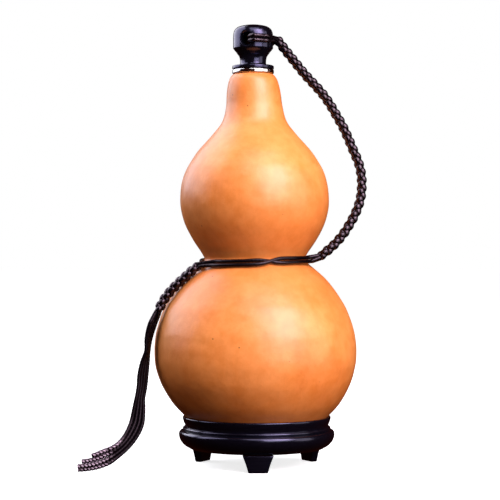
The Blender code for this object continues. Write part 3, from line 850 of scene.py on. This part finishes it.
longStrands = makeBraid("longBraidOfFour", "long_braid", longBraidRoute, braidLook,
                        braidLook["longTwist"], braidLook["longGather"])
shortStrands = makeBraid("shortBraidOfFour", "short_braid", shortBraidRoute, braidLook,
                         braidLook["shortTwist"], braidLook["shortGather"])
knobEnds = starts(longStrands)
rightEnds = finishes(longStrands)
leftEnds = starts(shortStrands)
tailEnds = finishes(shortStrands)
for name, lift in (("Upper", 1), ("Lower", -1)):
    frontEnd = pickEnd(knobEnds, loopLook["slant"] * lift, -1, lift)
    backEnd = pickEnd(knobEnds, loopLook["slant"] * lift, 1, lift)
    curve = knobLoop(loopLook, lift * loopLook["pair"], frontEnd, backEnd)
    makeCord("knobLoop" + name, "knob_loop_" + name.lower(), curve)
for name, lift in (("Upper", 1), ("Lower", -1)):
    rest = 0.0 if lift > 0 else 180.0
    curve = waistTurn(waistFrontRoute, waistLook, pickEnd(rightEnds, 0, -1, lift),
                      pickEnd(leftEnds, waistLook["slant"], -1, -lift), frontSwing(rest, waistLook))
    makeCord("waistCordFront" + name, "waist_cord_front_" + name.lower(), curve,
             waistLook["wear"])
    curve = waistTurn(waistBackRoute, waistLook, pickEnd(rightEnds, 0, 1, lift),
                      pickEnd(leftEnds, -waistLook["slant"], 1, lift), backSwing(rest))
    makeCord("waistCordBack" + name, "waist_cord_back_" + name.lower(), curve,
             waistLook["wear"])
tailStarts = [pickEnd(tailEnds, right, back, 0) for right, back in ((-1, -1), (-1, 1), (1, -1), (1, 1))]
for number, curve in enumerate(tailLines(tailLook, tailStarts), start=1):
    makeLooseEnd(f"tailCord{number}", f"tail_cord_{number}", curve, tailLook)
print("cords: two loops, two braids, four turns round the waist and four loose ends are laid")


# Turned pieces: an outline is drawn point by point from one vertex and spun about its axis

def spinOutline(name, outline, steps, axisX=0.0):
    bpy.ops.object.select_all(action="DESELECT")
    bpy.ops.mesh.primitive_plane_add(size=mm, location=(0, 0, 0))
    piece = bpy.context.object
    piece.name = name
    bpy.ops.object.mode_set(mode="EDIT")
    bpy.ops.mesh.select_all(action="SELECT")
    bpy.ops.mesh.merge(type="CENTER")
    here = Vector(outline[0]) * mm
    bpy.ops.transform.translate(value=(here.x, 0, here.y))
    for radius, height in outline[1:]:
        there = Vector((radius, height)) * mm
        step = there - here
        bpy.ops.mesh.extrude_region_move(TRANSFORM_OT_translate={"value": (step.x, 0, step.y)})
        here = there
    bpy.ops.mesh.select_all(action="SELECT")
    bpy.ops.mesh.spin(steps=steps, angle=2 * math.pi, center=(0, 0, 0), axis=(0, 0, 1))
    bpy.ops.mesh.select_all(action="SELECT")
    bpy.ops.mesh.remove_doubles(threshold=0.004 * mm)
    bpy.ops.mesh.normals_make_consistent(inside=False)
    if axisX:
        bpy.ops.transform.translate(value=(axisX * mm, 0, 0))
    bpy.ops.object.mode_set(mode="OBJECT")
    return piece


def applyAll(piece):
    bpy.context.view_layer.objects.active = piece
    for modifier in list(piece.modifiers):
        bpy.ops.object.modifier_apply(modifier=modifier.name)


def finishPiece(piece, node, finish, sharp=35.0):
    # edges sharper than this many degrees stay crisp
    bpy.ops.object.select_all(action="DESELECT")
    piece.select_set(True)
    bpy.context.view_layer.objects.active = piece
    bpy.ops.object.shade_smooth_by_angle(angle=math.radians(sharp))
    piece.data.materials.clear()
    piece.data.materials.append(finish)
    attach(piece, "root")
    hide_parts(node)


gourdLook = {
    "outline": [
        (10.2, 195.2), (12.1, 192.2), (13.4, 186.4), (14.2, 178.6), (16.2, 171.5), (20.7, 165.4),
        (27.7, 157.6), (31.4, 152.3), (34.3, 147.2), (36.3, 141.0), (37.2, 134.0), (36.8, 127.4),
        (35.0, 120.6), (32.5, 115.3), (29.5, 110.4), (26.2, 105.4), (25.1, 102.6), (27.2, 100.2),
        (29.8, 98.0), (34.3, 94.0), (38.5, 89.2), (42.7, 83.2), (46.0, 77.2), (49.0, 68.2), (49.95, 63.0),
        (50.4, 57.4), (50.0, 50.2), (47.5, 41.2), (42.5, 32.2), (37.3, 26.2), (32.0, 21.6), (24.0, 16.8),
        (14.0, 13.7), (5.0, 12.9), (0.0, 13.1),
    ],
    "mouthEdge": (8.1, 195.2),
    "lip": (9.7, 194.7),  # middle of the cut lip's rounding
    "lipRadius": 0.5,
    "inside": [
        (0.0, 17.2), (14.0, 17.8), (28.0, 24.0), (40.0, 36.0), (46.2, 57.4), (40.6, 79.5), (29.0, 92.5),
        (21.4, 102.6), (26.4, 112.5), (33.0, 134.0), (25.0, 155.0), (12.4, 168.0), (9.4, 186.0),
        (7.6, 190.6), (7.6, 194.6),
    ],
    "sides": 144,
    "axisFoot": 0.6,  # where the fruit's axis stands at the underside, mm to the right
    "axisShifts": [(24.0, 50.0, -0.6), (50.0, 110.0, -0.45), (172.0, 197.0, -0.75)],  # from, to, mm
    "swell": 0.2,  # slow unevenness of the grown surface, mm
    "swellSize": 24.0,
    "dimple": 0.10,
    "dimpleSize": 6.0,
    "dimplePlace": (7.0, 3.0, 1.0),  # where in the noise they are taken from
    "evenFoot": (26.0, 40.0),  # the surface is even below these heights, where the stand holds it
    "evenLip": (176.0, 192.0),  # and above these
    "waist": 102.0,  # where the cord is tied and has rubbed it smoother
    "waistReach": 5.0,
    "waistSmooth": 0.7,
}


def makeGourd(look):
    outline = outlineThrough(look["inside"], 3) + [look["mouthEdge"]]
    outline += arc(look["lip"], look["lipRadius"], 100.0, 20.0, 4) + outlineThrough(look["outline"], 6)[1:]
    gourd = spinOutline("gourdShell", outline, look["sides"])
    for vertex in gourd.data.vertices:
        spot = vertex.co / mm
        fade = smoothShare(spot.z, *look["evenFoot"]) * (1.0 - smoothShare(spot.z, *look["evenLip"]))
        fade *= 1.0 - look["waistSmooth"] * math.exp(-((spot.z - look["waist"]) / look["waistReach"]) ** 2)
        push = look["swell"] * noise.noise(spot / look["swellSize"])
        push += look["dimple"] * noise.noise(spot / look["dimpleSize"] + Vector(look["dimplePlace"]))
        away = Vector((spot.x, spot.y, 0.0))
        if away.length > 1.0:
            spot += away.normalized() * push * fade
        spot.x += look["axisFoot"]
        spot.x += sum(shift * smoothShare(spot.z, low, high) for low, high, shift in look["axisShifts"])
        vertex.co = spot * mm
    finishPiece(gourd, "gourd", rindFinish, 60.0)


collarLook = {
    "radius": 10.4,
    "bottom": 195.5,
    "top": 197.4,
    "edge": 0.45,  # radius of its rounded edges
    "chamfer": 0.3,
    "sleeve": 7.1,
    "bore": 6.35,
    "sleeveBottom": 188.5,
    "sides": 96,
}


def makeCollar(look):
    edge = look["edge"]
    rim = look["radius"] - edge
    outline = [(look["bore"], look["sleeveBottom"]), (look["bore"], look["top"] - edge)]
    outline += arc((look["bore"] + edge, look["top"] - edge), edge, 180.0, 90.0, 4)[1:]
    outline += arc((rim, look["top"] - edge), edge, 90.0, 0.0, 5)
    outline += arc((rim, look["bottom"] + edge), edge, 0.0, -90.0, 5)
    outline += [(look["sleeve"] + look["chamfer"], look["bottom"])]
    outline += [(look["sleeve"], look["bottom"] - look["chamfer"])]
    outline += [(look["sleeve"], look["sleeveBottom"]), (look["bore"], look["sleeveBottom"])]
    collar = spinOutline("mouthCollarRing", outline, look["sides"], loopLook["axis"])
    finishPiece(collar, "mouth_collar", steelFinish)


stopperLook = {
    "dome": [(0.0, 219.9), (3.6, 219.75), (6.9, 219.05), (8.7, 218.0), (9.5, 216.8), (9.9, 215.2),
             (10.0, 213.9)],
    "taper": [(9.3, 207.2), (8.6, 206.4), (7.9, 205.4), (7.1, 204.3), (6.7, 203.2), (6.5, 201.8)],
    "knob": 10.0,
    "knobFoot": 208.3,
    "neck": 6.5,
    "flange": 10.4,
    "flangeTop": 199.5,
    "flangeBottom": 197.7,
    "shank": 6.0,
    "shankBottom": 185.0,
    "knobEdge": 0.5,  # radii of the roundings, from the knob down
    "neckFillet": 0.7,
    "filletRise": 1.1,  # its middle above the flange
    "flangeStep": (8.6, 0.15),  # radius, and rise above the flange, where the fillet ends
    "flangeEdge": 0.6,
    "flangeFootEdge": 0.35,
    "shankChamfer": 0.3,
    "shankEdge": 0.8,
    "hole": [  # from beyond its flared mouth inwards: radius, distance out
        (0.0, 12.0), (4.1, 12.0), (3.9, 9.9), (3.45, 9.45), (3.0, 8.85), (2.85, 8.45),
    ],
    "holeSides": 48,
    "sides": 112,
}


def makeStopper(look):
    outline = outlineThrough(look["dome"], 5)
    outline += arc((look["knob"] - look["knobEdge"], look["knobFoot"]), look["knobEdge"], 0.0, -40.0, 3)
    outline += outlineThrough(look["taper"], 3)
    fillet = look["neckFillet"]
    outline += arc((look["neck"] + fillet, look["flangeTop"] + look["filletRise"]), fillet, 180.0, 250.0, 4)
    outline += [(look["flangeStep"][0], look["flangeTop"] + look["flangeStep"][1])]
    edge = look["flangeEdge"]
    outline += arc((look["flange"] - edge, look["flangeTop"] - edge), edge, 78.0, 0.0, 5)
    edge = look["flangeFootEdge"]
    outline += arc((look["flange"] - edge, look["flangeBottom"] + edge), edge, 0.0, -90.0, 4)
    outline += [(look["shank"] + look["shankChamfer"], look["flangeBottom"])]
    outline += [(look["shank"], look["flangeBottom"] - look["shankChamfer"])]
    edge = look["shankEdge"]
    outline += arc((look["shank"] - edge, look["shankBottom"] + edge), edge, 0.0, -90.0, 4)
    outline += [(0.0, look["shankBottom"])]
    stopper = spinOutline("turnedStopper", outline, look["sides"], loopLook["axis"])
    # the cross hole is a turned cutter with flared mouths
    bore = look["hole"] + [(radius, -out) for radius, out in reversed(look["hole"])]
    cutter = spinOutline("holeCutter", bore, look["holeSides"])
    cutter.rotation_euler = (0.0, math.radians(90.0), math.radians(loopLook["holeTurn"]))
    cutter.location = (loopLook["axis"] * mm, 0.0, loopLook["height"] * mm)
    cut = stopper.modifiers.new("crossHole", "BOOLEAN")
    cut.object = cutter
    applyAll(stopper)
    bpy.data.objects.remove(cutter)
    finishPiece(stopper, "stopper", stopperFinish, 30.0)


baseLook = {
    "axis": 0.6,
    "underside": 8.8,
    "footEdge": 33.3,  # radius at which the side turns into the underside
    "footEdgeRadius": 0.5,
    "recess": 24.0,  # the shallow recess underneath
    "recessFloor": 23.4,
    "recessDepth": 0.4,
    "seat": [(0.0, 12.2), (12.0, 12.5), (24.0, 15.9), (31.9, 20.9), (35.4, 23.8)],
    "rim": 37.0,
    "rimTop": 24.6,
    "rimEdge": 0.6,
    "groove": [(36.9, 23.3), (36.5, 21.9), (35.9, 20.6), (35.7, 19.6)],
    "bead": (36.2, 18.7),
    "beadRadius": 0.7,
    "side": [(36.9, 17.95), (38.3, 17.3), (38.9, 16.0), (38.5, 13.6), (37.3, 11.6), (35.8, 10.2),
             (34.0, 9.15)],
    "sides": 160,
}


def makeBase(look):
    outline = outlineThrough(look["seat"], 3)
    edge = look["rimEdge"]
    outline += arc((look["rim"] - edge, look["rimTop"] - edge), edge, 150.0, 0.0, 8)
    outline += outlineThrough(look["groove"], 2)
    outline += arc(look["bead"], look["beadRadius"], 90.0, -60.0, 8)
    outline += outlineThrough(look["side"], 4)
    edge = look["footEdgeRadius"]
    outline += arc((look["footEdge"], look["underside"] + edge), edge, -35.0, -90.0, 3)
    top = look["underside"] + look["recessDepth"]
    outline += [(look["recess"], look["underside"]), (look["recessFloor"], top), (0.0, top)]
    base = spinOutline("turnedStandBase", outline, look["sides"], look["axis"])
    finishPiece(base, "stand_base", standFinish)


legLook = {
    "axis": 0.6,
    "topReach": 33.6,
    "footReach": 33.0,
    "topThickness": 4.6,
    "footThickness": 3.4,
    "topWidth": 15.2,
    "footWidth": 9.5,
    "height": 8.5,
    "hollow": 0.5,  # how far the sides curve in
    "easedEdge": 0.45,
    "angles": {"front": -89.0, "right": 31.0, "left": 151.0},
}


def makeLeg(name, angle, look):
    bpy.ops.object.select_all(action="DESELECT")
    bpy.ops.mesh.primitive_cube_add(size=1.0, location=(0, 0, 0))
    leg = bpy.context.object
    leg.name = "standLeg" + name.capitalize()
    bpy.ops.object.mode_set(mode="EDIT")
    bpy.ops.mesh.select_all(action="SELECT")
    bpy.ops.mesh.subdivide(number_cuts=5)
    bpy.ops.object.mode_set(mode="OBJECT")
    for vertex in leg.data.vertices:
        share = vertex.co.z + 0.5
        width = look["footWidth"] + (look["topWidth"] - look["footWidth"]) * share
        width -= look["hollow"] * math.sin(math.pi * share)
        outer = look["footReach"] + (look["topReach"] - look["footReach"]) * share
        thick = look["footThickness"] + (look["topThickness"] - look["footThickness"]) * share
        depth = outer - thick * (0.5 - vertex.co.x)
        vertex.co = Vector((depth, vertex.co.y * width, share * look["height"])) * mm
    leg.location.x = look["axis"] * mm
    leg.rotation_euler.z = math.radians(angle)
    bpy.context.view_layer.objects.active = leg
    bpy.ops.object.transform_apply(location=True, rotation=True, scale=True)
    bevel = leg.modifiers.new("easedEdges", "BEVEL")
    bevel.width = look["easedEdge"] * mm
    bevel.segments = 3
    bevel.limit_method = "ANGLE"
    applyAll(leg)
    finishPiece(leg, "stand_leg_" + name, standFinish, 40.0)


makeGourd(gourdLook)
print("gourd: the shell is spun and its surface is uneven")
makeCollar(collarLook)
makeStopper(stopperLook)
print("mouth: collar and stopper are turned")
makeBase(baseLook)
for legName, legAngle in legLook["angles"].items():
    makeLeg(legName, legAngle, legLook)
print("stand: base and three legs are turned and cut")
